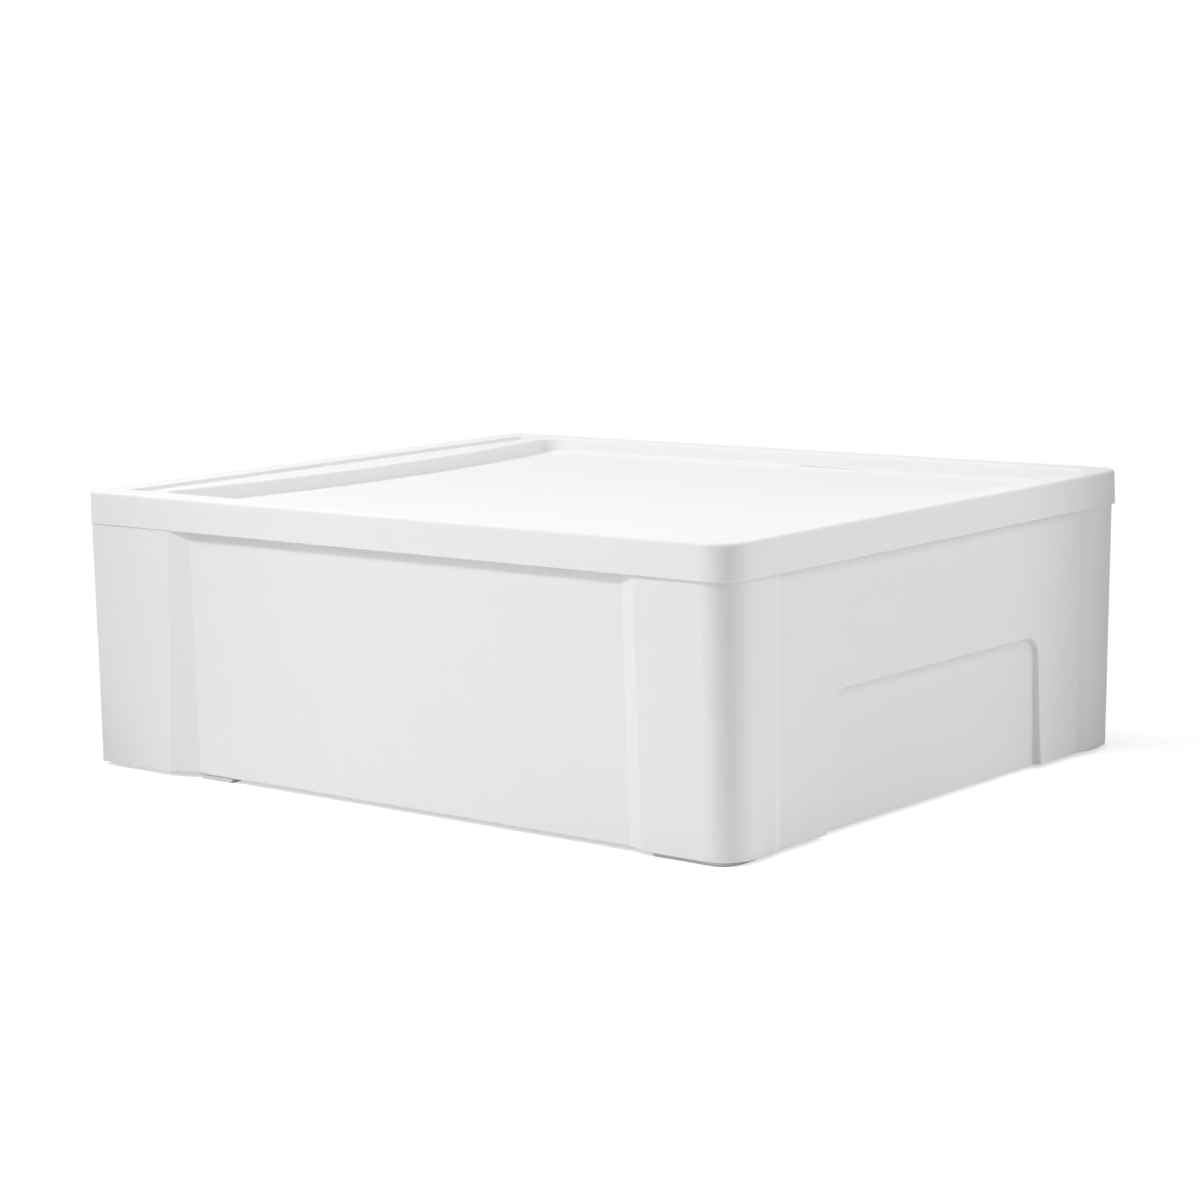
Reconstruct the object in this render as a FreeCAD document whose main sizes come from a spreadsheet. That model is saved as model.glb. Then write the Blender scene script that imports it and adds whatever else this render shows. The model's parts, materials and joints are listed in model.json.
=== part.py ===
import FreeCAD, Part

import math
import os
import re

import Sketcher

# Stackable drawer box: a clip-together housing with a rimmed cover and one sliding drawer.
# Millimetres, +Z up. The origin is on the floor under the middle of the box. The drawer opens
# towards -Y, the closed rear wall faces +Y, and the long sides face -X (left) and +X (right).

Vector = FreeCAD.Vector
Placement = FreeCAD.Placement
Rotation = FreeCAD.Rotation

# Driving sizes, in millimetres and degrees

SIZES = [
    ("box_width", 320, "lower edge of the cover band, side to side"),
    ("box_depth", 400, "lower edge of the cover band, front to rear"),
    ("box_height", 138, "floor to the top of the cover"),
    ("foot_stand", 2.0, "height of the housing's bottom edge over the floor"),
    ("shell_wall", 2.4, "wall of the side panels and thickness of their flanges"),
    ("fit_gap", 0.2, "side play where two housing pieces lock together"),
    ("running_gap", 0.3, "play between the drawer and what it slides on"),
    ("cut_overrun", 5, "how far every cut runs past the face it opens"),
    ("pick_reach", 0.02, "how near an edge lies to the place where it is looked for"),
    ("band_height", 16.4, "height of the cover's outer band"),
    ("band_wall", 2.2, "thickness of the cover's outer band"),
    ("band_draft_angle", 1.2, "lean of the band"),
    ("cover_skin", 2.4, "thickness of the cover's top"),
    ("cover_edge_radius", 1.5, "rounding along the top edge of the cover"),
    ("band_edge_radius", 0.5, "rounding along the lower edge of the band"),
    ("rear_corner_radius", 15, "rounding of the cover's two rear corners"),
    ("front_corner_radius", 4, "rounding of the cover's two front corners"),
    ("tray_margin", 14, "flat border beside and behind the top recess"),
    ("tray_depth", 7.5, "depth of the top recess"),
    ("tray_corner_radius", 9, "rounding of the recess corners"),
    ("tray_draft_angle", 3, "lean of the recess walls"),
    ("tray_front_setback", 36.6, "front of the box to the ends of the recess's front wall"),
    ("tray_front_bow", 17.4, "how far the middle of that wall bows rearwards"),
    ("tray_edge_radius", 0.9, "rounding along the upper edge of the recess"),
    ("tray_foot_radius", 1.6, "rounding along the foot of the recess walls"),
    ("groove_setback", 15.5, "front of the box to the front groove"),
    ("groove_width", 13, "width of the front groove"),
    ("groove_depth", 4, "depth of the front groove"),
    ("groove_corner_radius", 2.5, "rounding of the groove's ends"),
    ("groove_edge_radius", 0.5, "rounding along the groove's upper edge"),
    ("post_inset_top", 0.4, "front post behind the band's edge, at the top"),
    ("post_inset_bottom", 0.1, "front post behind the band's edge, at the bottom"),
    ("panel_inset_top", 3.6, "side panel behind the band's edge, at the top"),
    ("panel_inset_bottom", 5.0, "side panel behind the band's edge, at the bottom"),
    ("corner_inset_top", 1.2, "rear corner post inside the band's edge, at the top"),
    ("corner_inset_bottom", 3.4, "rear corner post inside the band's edge, at the bottom"),
    ("front_post_length_top", 58.8, "front post along the side, at the top"),
    ("front_post_length_bottom", 52.4, "front post along the side, at the bottom"),
    ("front_ramp_length_top", 11, "slope from the front post down to the panel, at the top"),
    ("front_ramp_length_bottom", 16.2, "the same slope at the bottom"),
    ("rear_post_length", 52.6, "rear corner post along the side"),
    ("rear_ramp_length", 8.2, "slope from the panel up to the rear corner post"),
    ("crease_radius", 2.0, "rounding of the creases between post, slope and panel"),
    ("sill_radius", 1.4, "rounding along the lower edge of the side panel"),
    ("body_corner_radius", 15, "rounding of the rear corner posts"),
    ("post_corner_radius", 3.6, "rounding of the front posts"),
    ("jamb_inset", 12, "width of the front post seen from the front"),
    ("jamb_depth", 28, "depth of the opening's side wall"),
    ("flange_reach", 13, "side flange's inner edge inside the band's edge"),
    ("lip_wall", 2.0, "thickness of the lip that stands inside the cover band"),
    ("lip_end_gap", 8, "lip's ends from the corners"),
    ("ledge_reach", 10.4, "lower ledge's inner edge inside the band's edge"),
    ("rear_post_width", 38, "corner post and its slope, seen from behind"),
    ("joint_ramp_width", 5, "slope from a corner post down to the rear panel"),
    ("joint_step", 1.4, "rear panel behind the corner posts"),
    ("rear_wall", 2.8, "thickness of the rear panel"),
    ("tongue_length", 9.5, "overlap of the rear panel behind the corner posts"),
    ("recess_half_width_top", 83, "rear recess, half its width near its top"),
    ("recess_half_width_bottom", 87.2, "rear recess, half its width at the bottom"),
    ("recess_height", 62.5, "rear recess, height over the bottom edge"),
    ("recess_depth_top", 2.4, "rear recess, depth at its top"),
    ("recess_depth_bottom", 3.5, "rear recess, depth at the bottom"),
    ("recess_corner_radius", 9, "rear recess, rounding of its upper corners"),
    ("recess_slope_angle", 15, "slope of the recess's edge"),
    ("recess_edge_radius", 0.8, "rounding along the recess's edge"),
    ("recess_foot_radius", 1.2, "rounding along the foot of that edge"),
    ("base_plate_drop", 4.9, "top of the floor plate over the housing's bottom edge"),
    ("base_plate", 2.4, "thickness of the floor plate"),
    ("skirt_drop", 0.3, "skirt below the housing's bottom edge"),
    ("skirt_wall", 2.2, "thickness of the skirt"),
    ("base_corner_radius", 10, "rounding of the floor plate's rear corners"),
    ("base_front_setback", 20.6, "front of the box to the floor plate"),
    ("rib_wall", 1.6, "thickness of the ribs under the floor"),
    ("rib_depth", 2.2, "depth of the ribs under the floor"),
    ("rail_inset", 24, "runner rail's outer face inside the band's edge"),
    ("rail_width", 8, "width of a runner rail"),
    ("rail_height", 2.5, "height of a runner rail"),
    ("fence_wall", 2.0, "thickness of the drawer's side guide"),
    ("fence_height", 15, "height of the drawer's side guide"),
    ("drawer_wall", 2.2, "wall of the drawer"),
    ("drawer_floor", 2.4, "floor of the drawer"),
    ("drawer_side_inset", 15, "drawer wall inside the band's edge, at the rim"),
    ("drawer_draft_angle", 0.85, "lean of the drawer's walls"),
    ("drawer_rim_drop", 4.3, "rim of the drawer below the cover band"),
    ("drawer_rim_reach", 2.2, "how far the drawer's rim stands out"),
    ("drawer_rim", 2.2, "thickness of the drawer's rim"),
    ("drawer_rim_radius", 0.6, "rounding along the top of the rim"),
    ("drawer_rear_gap", 20, "drawer's rear wall from the rear of the box, at the rim"),
    ("drawer_corner_radius", 9, "rounding of the drawer's corners"),
    ("drawer_foot_radius", 3, "rounding under the drawer"),
    ("drawer_inner_radius", 1.5, "rounding along the drawer's floor inside"),
    ("drawer_travel", 300, "how far the drawer pulls out"),
    ("front_setback", 0.6, "face of the drawer front behind the front of the box"),
    ("front_thickness", 19, "drawer front, face to back"),
    ("front_skin", 2.6, "face wall of the drawer front"),
    ("front_wall", 2.4, "edge walls of the drawer front"),
    ("front_side_gap", 0.8, "gap between the drawer front and the posts"),
    ("front_top_gap", 0.9, "gap between the drawer front and the cover band"),
    ("front_lower_gap", 1.0, "drawer front's lower edge over the housing's bottom edge"),
    ("front_face_radius", 3, "rounding of the drawer front's corners"),
    ("front_edge_radius", 1.2, "rounding along the drawer front's edges"),
    ("pull_half_width", 84, "half the width of the finger pull"),
    ("pull_height", 61.5, "height of the finger pull over the lower edge of the front"),
    ("pull_depth", 14.2, "depth of the finger pull"),
    ("pull_corner_radius", 10, "rounding of the finger pull's upper corners"),
    ("pull_edge_radius", 1.6, "rounding along the finger pull's edge"),
    ("pull_grip_height", 13, "hollow above the pull's edge that the fingertips hook into"),
    ("pull_grip_inset", 5, "ends of that hollow from the sides of the pull"),
    ("pull_grip_radius", 5, "rounding of that hollow's upper corners"),
    ("front_rib_x", 102, "middle of the box to the ribs inside the drawer front"),
    ("front_rib_wall", 2.0, "thickness of those ribs"),
    ("hook_width", 12, "width of the hooks that hold the drawer front"),
    ("hook_thickness", 2.4, "thickness of those hooks"),
    ("hook_nib", 1.4, "nib on the end of a hook"),
    ("hook_nib_length", 2.0, "length of the nib"),
    ("hook_side_inset", 34, "middle of a hook from the side of the drawer front"),
    ("hook_low_height", 14, "lower hooks over the drawer's floor"),
    ("hook_high_drop", 14, "upper hooks below the drawer's rim"),
    ("stop_length", 8, "length of a drawer stop"),
    ("stop_reach", 2.4, "how far a stop stands out from the rim"),
    ("stop_leaf", 1.3, "leaf of a stop over the rim"),
    ("stop_grip", 2.6, "part of a stop under the rim"),
    ("foot_inset", 5.3, "outer face of a foot inside the band's edge"),
    ("foot_lip", 1.8, "raised outer strip of a foot, up to the housing's bottom edge"),
    ("foot_width", 19, "width of a foot"),
    ("front_foot_setback", 69.6, "front of the box to the front feet"),
    ("front_foot_length", 21, "length of a front foot"),
    ("rear_foot_setback", 7.6, "rear of the box to the rear feet"),
    ("rear_foot_length", 41, "length of a rear foot"),
    ("foot_corner_radius", 9, "outer corner of a rear foot"),
    ("foot_chamfer", 1.2, "chamfer along the end of a foot"),
    ("peg_radius", 3, "pegs that hold the feet"),
    ("peg_inset", 12, "pegs inside the outer face of a foot"),
    ("peg_end_gap", 10, "pegs from the ends of a rear foot"),
    ("boss_wall", 2, "wall of the sockets for those pegs"),
]

doc = FreeCAD.newDocument("drawer_box")
sheet = doc.addObject("Spreadsheet::Sheet", "Sizes")
for row, (alias, amount, meaning) in enumerate(SIZES, start=1):
    sheet.set(f"A{row}", alias)
    sheet.set(f"B{row}", str(amount))
    sheet.set(f"C{row}", meaning)
    sheet.setAlias(f"B{row}", alias)
doc.recompute()

SIZE_NAMES = {alias for alias, amount, meaning in SIZES}

# Where the ribs under the floor stand: shares of its half width, and of its depth from the front
LONG_RIB_SHARES = (-0.5, 0, 0.5)
CROSS_RIB_SHARES = (0.2, 0.4, 0.6, 0.8)

# The sill's rounding, from the lower edge up: shares of its radius as height and as inset
SILL_SHARES = ((0, 1), (0.134, 0.5), (0.5, 0.134), (1, 0))


def bind(formula):
    """The formula with every size name read from the sheet."""
    return re.sub(
        r"[a-z_]+",
        lambda word: f"Sizes.{word.group(0)}" if word.group(0) in SIZE_NAMES else word.group(0),
        formula,
    )


def value(formula):
    """The number that a formula gives with the sheet's sizes."""
    return float(sheet.evalExpression(bind(formula)))


def near(first, second):
    """True where two measured places are the same place."""
    return abs(first - second) < value("pick_reach")


# Places that several pieces share, as formulas in the sheet's sizes

HALF_WIDTH = "box_width / 2"
HALF_DEPTH = "box_depth / 2"
BAND_BOTTOM = "(box_height - band_height)"
COVER_ROOF = "(box_height - cover_skin)"
WALL_HEIGHT = f"({BAND_BOTTOM} - foot_stand)"
BAND_LEAN = "(band_height * tan(band_draft_angle))"
LIP_OUTER_X = f"({HALF_WIDTH} - band_wall - {BAND_LEAN} - fit_gap)"
LIP_OUTER_Y = f"({HALF_DEPTH} - band_wall - {BAND_LEAN} - fit_gap)"
JAMB_X = f"({HALF_WIDTH} - jamb_inset)"
JOINT_X = f"({HALF_WIDTH} - rear_post_width)"
JAMB_REAR_Y = f"(-{HALF_DEPTH} + post_inset_bottom + jamb_depth)"
FLANGE_X = f"({HALF_WIDTH} - flange_reach)"
LEDGE_X = f"({HALF_WIDTH} - ledge_reach)"
PLATE_TOP = "(foot_stand + base_plate_drop)"
PLATE_BOTTOM = f"({PLATE_TOP} - base_plate)"
SKIRT_BOTTOM = "(foot_stand - skirt_drop)"
PLATE_X = f"({HALF_WIDTH} - panel_inset_bottom - shell_wall - fit_gap - fit_gap)"
REAR_FACE_BOTTOM = f"({HALF_DEPTH} - corner_inset_bottom - joint_step)"
REAR_FACE_TOP = f"({HALF_DEPTH} - corner_inset_top - joint_step)"
RECESS_BACK = f"({REAR_FACE_BOTTOM} - recess_depth_bottom - rear_wall)"
PLATE_FRONT_Y = f"(-{HALF_DEPTH} + base_front_setback)"
PLATE_REAR_Y = f"({RECESS_BACK} - running_gap)"
RAIL_TOP = f"({PLATE_TOP} + rail_height)"
DRAWER_BOTTOM = f"({RAIL_TOP} + running_gap)"
DRAWER_RIM_TOP = f"({BAND_BOTTOM} - drawer_rim_drop)"
DRAWER_RIM_BOTTOM = f"({DRAWER_RIM_TOP} - drawer_rim)"
DRAWER_LEAN = f"(({DRAWER_RIM_TOP} - {DRAWER_BOTTOM}) * tan(drawer_draft_angle))"
DRAWER_X = f"({HALF_WIDTH} - drawer_side_inset)"
DRAWER_REAR_Y = f"({HALF_DEPTH} - drawer_rear_gap)"
DRAWER_RIM_X = f"({DRAWER_X} + drawer_rim_reach)"
FRONT_FACE_Y = f"(-{HALF_DEPTH} + front_setback)"
FRONT_BACK_Y = f"({FRONT_FACE_Y} + front_thickness)"
FRONT_X = f"({JAMB_X} - front_side_gap)"
FRONT_LOW = "(foot_stand + front_lower_gap)"
FRONT_HIGH = f"({BAND_BOTTOM} - front_top_gap)"
FOOT_OUTER_X = f"({HALF_WIDTH} - foot_inset)"
PEG_X = f"({FOOT_OUTER_X} - peg_inset)"
FRONT_FOOT_Y = f"(-{HALF_DEPTH} + front_foot_setback)"
REAR_FOOT_Y = f"({HALF_DEPTH} - rear_foot_setback - rear_foot_length)"


# Helpers for bodies, sketches and features

bodies = []


def add_body(label):
    """A new, empty sub-part."""
    body = doc.addObject("PartDesign::Body", label)
    body.Label = label
    body.Placement = Placement()
    bodies.append(body)
    return body


def add_sketch(body, name, role, offset="0"):
    """A sketch on one of the body's own origin planes, moved along the plane's normal."""
    sketch = body.newObject("Sketcher::SketchObject", f"{body.Name}_{name}")
    plane = next(item for item in body.Origin.OriginFeatures if item.Role == role)
    sketch.AttachmentSupport = [(plane, "")]
    sketch.MapMode = "FlatFace"
    sketch.setExpression("AttachmentOffset.Base.z", bind(offset))
    return sketch


def pin(sketch, piece, end, x, y):
    """Hold one point of the sketch at a place given by two formulas."""
    for kind, formula in (("DistanceX", x), ("DistanceY", y)):
        number = sketch.addConstraint(Sketcher.Constraint(kind, piece, end, value(formula)))
        sketch.setExpression(f"Constraints[{number}]", bind(formula))


def round_corner(before, corner, after, radius):
    """Where an arc of this radius leaves the two edges of a corner, and its middle point."""
    towards_before = (before - corner).normalize()
    towards_after = (after - corner).normalize()
    half_angle = towards_before.getAngle(towards_after) / 2
    run = radius / math.tan(half_angle)
    middle_line = (towards_before + towards_after).normalize()
    centre = corner + middle_line * (radius / math.sin(half_angle))
    return corner + towards_before * run, centre - middle_line * radius, corner + towards_after * run


def arc_ends(start, middle, end):
    """The sketch's numbers for the two ends of an arc, which it counts anticlockwise."""
    turn = (middle - start).cross(end - middle).z
    return (1, 2) if turn > 0 else (2, 1)


def outline(sketch, corners):
    """A closed outline of straight edges. A corner is (x, y) or, where it is rounded, (x, y, radius)."""
    places = [Vector(value(corner[0]), value(corner[1]), 0) for corner in corners]
    count = len(corners)
    starts = list(places)
    ends = list(places)
    middles = [None] * count
    for index, corner in enumerate(corners):
        if len(corner) > 2:
            arrive, middle, leave = round_corner(
                places[index - 1], places[index], places[(index + 1) % count], value(corner[2])
            )
            ends[index] = arrive
            starts[index] = leave
            middles[index] = middle
    lines = []
    for index in range(count):
        edge = Part.LineSegment(starts[index], ends[(index + 1) % count])
        lines.append(sketch.addGeometry(edge))
    for index, corner in enumerate(corners):
        arriving = lines[index - 1]
        leaving = lines[index]
        if middles[index] is None:
            sketch.addConstraint(Sketcher.Constraint("Coincident", arriving, 2, leaving, 1))
            pin(sketch, leaving, 1, corner[0], corner[1])
            continue
        arc = sketch.addGeometry(Part.Arc(ends[index], middles[index], starts[index]))
        first, last = arc_ends(ends[index], middles[index], starts[index])
        sketch.addConstraint(Sketcher.Constraint("Tangent", arriving, 2, arc, first))
        sketch.addConstraint(Sketcher.Constraint("Tangent", arc, last, leaving, 1))
        number = sketch.addConstraint(Sketcher.Constraint("Radius", arc, value(corner[2])))
        sketch.setExpression(f"Constraints[{number}]", bind(corner[2]))
        sharp = sketch.addGeometry(Part.Point(places[index]), True)
        sketch.addConstraint(Sketcher.Constraint("PointOnObject", sharp, 1, arriving))
        sketch.addConstraint(Sketcher.Constraint("PointOnObject", sharp, 1, leaving))
        pin(sketch, sharp, 1, corner[0], corner[1])


def rectangle(x_low, x_high, y_low, y_high, low_radius=None, high_radius=None):
    """Corners of a rectangle, rounded at its low-Y and high-Y ends where a radius is given."""
    low = (low_radius,) if low_radius else ()
    high = (high_radius,) if high_radius else ()
    return [
        (x_low, y_low) + low,
        (x_high, y_low) + low,
        (x_high, y_high) + high,
        (x_low, y_high) + high,
    ]


def circle(sketch, x, y, radius):
    """A full circle with its centre at a place given by two formulas."""
    centre = Vector(value(x), value(y), 0)
    piece = sketch.addGeometry(Part.Circle(centre, Vector(0, 0, 1), value(radius)))
    number = sketch.addConstraint(Sketcher.Constraint("Radius", piece, value(radius)))
    sketch.setExpression(f"Constraints[{number}]", bind(radius))
    pin(sketch, piece, 3, x, y)


def extrude(body, kind, sketch, length, backwards=False, taper=None):
    """A Pad or Pocket of a sketch. It has to change the volume of the body."""
    before = body.Shape.Volume if body.Tip else 0
    feature = body.newObject(f"PartDesign::{kind}", f"{sketch.Name}_{kind.lower()}")
    feature.Profile = sketch
    feature.Reversed = backwards
    feature.setExpression("Length", bind(length))
    if taper:
        feature.setExpression("TaperAngle", bind(taper))
    doc.recompute()
    grows = feature.Shape.Volume > before
    if grows != (kind == "Pad"):
        raise ValueError(f"{feature.Name} changed nothing")
    return feature


def pad(body, sketch, length, backwards=False, taper=None):
    return extrude(body, "Pad", sketch, length, backwards, taper)


def pocket(body, sketch, length, backwards=False, taper=None):
    return extrude(body, "Pocket", sketch, length, backwards, taper)


def loft(body, sketches):
    """A straight-sided loft through sketches with as many edges each, from the lowest up."""
    feature = body.newObject("PartDesign::AdditiveLoft", f"{sketches[0].Name}_loft")
    feature.Profile = sketches[0]
    feature.Sections = sketches[1:]
    feature.Ruled = True
    doc.recompute()
    return feature


def edges_where(shape, wanted):
    """Names of the edges that a test on their bounding box picks."""
    return [
        f"Edge{number}"
        for number, edge in enumerate(shape.Edges, start=1)
        if wanted(edge.BoundBox)
    ]


def round_edges(body, wanted, radius, kind="Fillet"):
    """Round, or chamfer, the edges of the body that a test picks."""
    base = body.Tip
    names = edges_where(base.Shape, wanted)
    if not names:
        raise ValueError(f"{body.Label} has no edge to round")
    feature = body.newObject(f"PartDesign::{kind}", f"{base.Name}_{kind.lower()}")
    feature.Base = (base, names)
    feature.setExpression("Radius" if kind == "Fillet" else "Size", bind(radius))
    doc.recompute()
    return feature


def lies_flat(box, height):
    """True for an edge that lies level at this height."""
    return near(box.ZMin, height) and near(box.ZMax, height)


# Cover: a shallow tray with a rim band, a groove along the front and a bowed front wall


def draw_tray(sketch):
    """Outline of the top recess: three straight walls and a front wall that bows rearwards."""
    side = f"({HALF_WIDTH} - tray_margin)"
    rear = f"({HALF_DEPTH} - tray_margin)"
    front = f"(-{HALF_DEPTH} + tray_front_setback)"
    bow = f"({front} + tray_front_bow)"
    radius = "tray_corner_radius"
    left_front = Vector(-value(side), value(front), 0)
    right_front = Vector(value(side), value(front), 0)
    right_rear = Vector(value(side), value(rear), 0)
    left_rear = Vector(-value(side), value(rear), 0)
    right_rounding = round_corner(right_front, right_rear, left_rear, value(radius))
    left_rounding = round_corner(right_rear, left_rear, left_front, value(radius))
    right_line = sketch.addGeometry(Part.LineSegment(right_front, right_rounding[0]))
    right_arc = sketch.addGeometry(Part.Arc(*right_rounding))
    rear_line = sketch.addGeometry(Part.LineSegment(right_rounding[2], left_rounding[0]))
    left_arc = sketch.addGeometry(Part.Arc(*left_rounding))
    left_line = sketch.addGeometry(Part.LineSegment(left_rounding[2], left_front))
    bow_middle = Vector(0, value(bow), 0)
    bow_arc = sketch.addGeometry(Part.Arc(left_front, bow_middle, right_front))
    for first, second in ((right_line, right_arc), (right_arc, rear_line), (rear_line, left_arc),
                          (left_arc, left_line)):
        sketch.addConstraint(Sketcher.Constraint("Tangent", first, 2, second, 1))
    left_end, right_end = arc_ends(left_front, bow_middle, right_front)
    sketch.addConstraint(Sketcher.Constraint("Coincident", left_line, 2, bow_arc, left_end))
    sketch.addConstraint(Sketcher.Constraint("Coincident", bow_arc, right_end, right_line, 1))
    for arc in (right_arc, left_arc):
        number = sketch.addConstraint(Sketcher.Constraint("Radius", arc, value(radius)))
        sketch.setExpression(f"Constraints[{number}]", bind(radius))
    pin(sketch, right_line, 1, side, front)
    pin(sketch, left_line, 2, f"-{side}", front)
    for place, x, edges in ((right_rear, side, (right_line, rear_line)),
                            (left_rear, f"-{side}", (rear_line, left_line))):
        sharp = sketch.addGeometry(Part.Point(place), True)
        for edge in edges:
            sketch.addConstraint(Sketcher.Constraint("PointOnObject", sharp, 1, edge))
        pin(sketch, sharp, 1, x, rear)
    summit = sketch.addGeometry(Part.Point(bow_middle), True)
    sketch.addConstraint(Sketcher.Constraint("PointOnObject", summit, 1, bow_arc))
    pin(sketch, summit, 1, "0", bow)


def make_top_cover():
    body = add_body("top_cover")
    top = value("box_height")
    outer = add_sketch(body, "outline", "XY_Plane", BAND_BOTTOM)
    outline(outer, rectangle(f"-{HALF_WIDTH}", HALF_WIDTH, f"-{HALF_DEPTH}", HALF_DEPTH,
                             "front_corner_radius", "rear_corner_radius"))
    pad(body, outer, "band_height", taper="-band_draft_angle")
    round_edges(body, lambda box: lies_flat(box, top), "cover_edge_radius")
    round_edges(body, lambda box: lies_flat(box, value(BAND_BOTTOM)), "band_edge_radius")

    tray = add_sketch(body, "tray", "XY_Plane", "box_height")
    draw_tray(tray)
    pocket(body, tray, "tray_depth", taper="-tray_draft_angle")
    front_y = value(f"-{HALF_DEPTH} + tray_front_setback")
    side_x = value(f"{HALF_WIDTH} - tray_margin")
    floor_z = value("box_height - tray_depth")
    lean = value("tray_depth * tan(tray_draft_angle) * 2")
    round_edges(
        body,
        lambda box: near(box.ZMin, floor_z) and near(box.ZMax, top)
        and abs(box.YMin - front_y) < lean and abs(abs(box.XMin) - side_x) < lean,
        "tray_corner_radius",
    )

    def in_tray(box):
        return abs(box.XMin) < side_x + lean and abs(box.XMax) < side_x + lean

    round_edges(body, lambda box: lies_flat(box, floor_z) and in_tray(box), "tray_foot_radius")
    round_edges(body, lambda box: lies_flat(box, top) and in_tray(box), "tray_edge_radius")

    groove = add_sketch(body, "groove", "XY_Plane", "box_height")
    groove_front = f"(-{HALF_DEPTH} + groove_setback)"
    groove_rear = f"({groove_front} + groove_width)"
    groove_side = f"({HALF_WIDTH} - tray_margin)"
    outline(groove, rectangle(f"-{groove_side}", groove_side, groove_front, groove_rear,
                              "groove_corner_radius", "groove_corner_radius"))
    pocket(body, groove, "groove_depth")
    round_edges(
        body,
        lambda box: lies_flat(box, top) and box.YMax < value(f"{groove_rear} + pick_reach")
        and box.YMin > value(f"{groove_front} - pick_reach"),
        "groove_edge_radius",
    )

    hollow = add_sketch(body, "hollow", "XY_Plane", BAND_BOTTOM)
    inner_x = f"({HALF_WIDTH} - band_wall)"
    inner_y = f"({HALF_DEPTH} - band_wall)"
    outline(hollow, rectangle(f"-{inner_x}", inner_x, f"-{inner_y}", inner_y,
                              "front_corner_radius - band_wall", "rear_corner_radius - band_wall"))
    pocket(body, hollow, "band_height - tray_depth - cover_skin", backwards=True,
           taper="-band_draft_angle")
    channel = add_sketch(body, "channel", "XY_Plane", BAND_BOTTOM)
    roof_x = f"({inner_x} - {BAND_LEAN})"
    roof_y = f"({inner_y} - {BAND_LEAN})"
    outline(channel, rectangle(f"-{roof_x}", roof_x, f"-{roof_y}", roof_y,
                               "front_corner_radius - band_wall", "rear_corner_radius - band_wall"))
    core_x = f"({HALF_WIDTH} - tray_margin + cover_skin)"
    core_rear = f"({HALF_DEPTH} - tray_margin + cover_skin)"
    core_front = f"({groove_front} - cover_skin)"
    outline(channel, rectangle(f"-{core_x}", core_x, core_front, core_rear,
                               "tray_corner_radius", "tray_corner_radius"))
    pocket(body, channel, "band_height - cover_skin", backwards=True)
    return body


# Side panels: front post, slope, drafted panel, slope and rounded rear corner in one wall


def at_height(name, rise):
    """A size with a bottom and a top amount, at a height over the lower edge of the walls."""
    return f"({name}_bottom + ({name}_top - {name}_bottom) * {rise} / {WALL_HEIGHT})"


def side_outline(side, rise, tuck):
    """Plan of a side panel's wall at a height, going round its outer face first.

    The panel between the slopes stands further in by the tuck.
    """
    post_x = f"({HALF_WIDTH} - {at_height('post_inset', rise)})"
    panel_x = f"({HALF_WIDTH} - {at_height('panel_inset', rise)})"
    corner_x = f"({HALF_WIDTH} - {at_height('corner_inset', rise)})"
    front_y = f"(-{HALF_DEPTH} + {at_height('post_inset', rise)})"
    post_end_y = f"(-{HALF_DEPTH} + {at_height('front_post_length', rise)})"
    ramp_end_y = f"({post_end_y} + {at_height('front_ramp_length', rise)})"
    rear_y = f"({HALF_DEPTH} - {at_height('corner_inset', rise)})"
    rear_post_y = f"({HALF_DEPTH} - rear_post_length)"
    rear_ramp_y = f"({rear_post_y} - rear_ramp_length)"
    outer = [
        (JAMB_X, front_y),
        (post_x, front_y, "post_corner_radius"),
        (post_x, post_end_y, "crease_radius"),
        (f"({panel_x} - {tuck})", ramp_end_y, "crease_radius"),
        (f"({panel_x} - {tuck})", rear_ramp_y, "crease_radius"),
        (corner_x, rear_post_y, "crease_radius"),
        (corner_x, rear_y, "body_corner_radius"),
        (f"({JOINT_X} + joint_ramp_width)", rear_y, "crease_radius"),
        (JOINT_X, f"({rear_y} - joint_step)"),
    ]
    inner = [
        (JOINT_X, f"({rear_y} - shell_wall)"),
        (f"({corner_x} - shell_wall)", f"({rear_y} - shell_wall)", "body_corner_radius - shell_wall"),
        (f"({corner_x} - shell_wall)", rear_post_y),
        (f"({panel_x} - shell_wall)", rear_ramp_y),
        (f"({panel_x} - shell_wall)", ramp_end_y),
        (f"({post_x} - shell_wall)", post_end_y),
        (f"({post_x} - shell_wall)", f"({front_y} + shell_wall)", "post_corner_radius - shell_wall"),
        (f"({JAMB_X} + shell_wall)", f"({front_y} + shell_wall)"),
        (f"({JAMB_X} + shell_wall)", JAMB_REAR_Y),
        (JAMB_X, JAMB_REAR_Y),
    ]
    return mirror_points(side, outer + inner)


def mirror_points(side, corners):
    """The corners as they are for the right side, or mirrored for the left."""
    sign = "" if side == "right" else "-1 * "
    return [(f"{sign}{corner[0]}",) + tuple(corner[1:]) for corner in corners]


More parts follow.
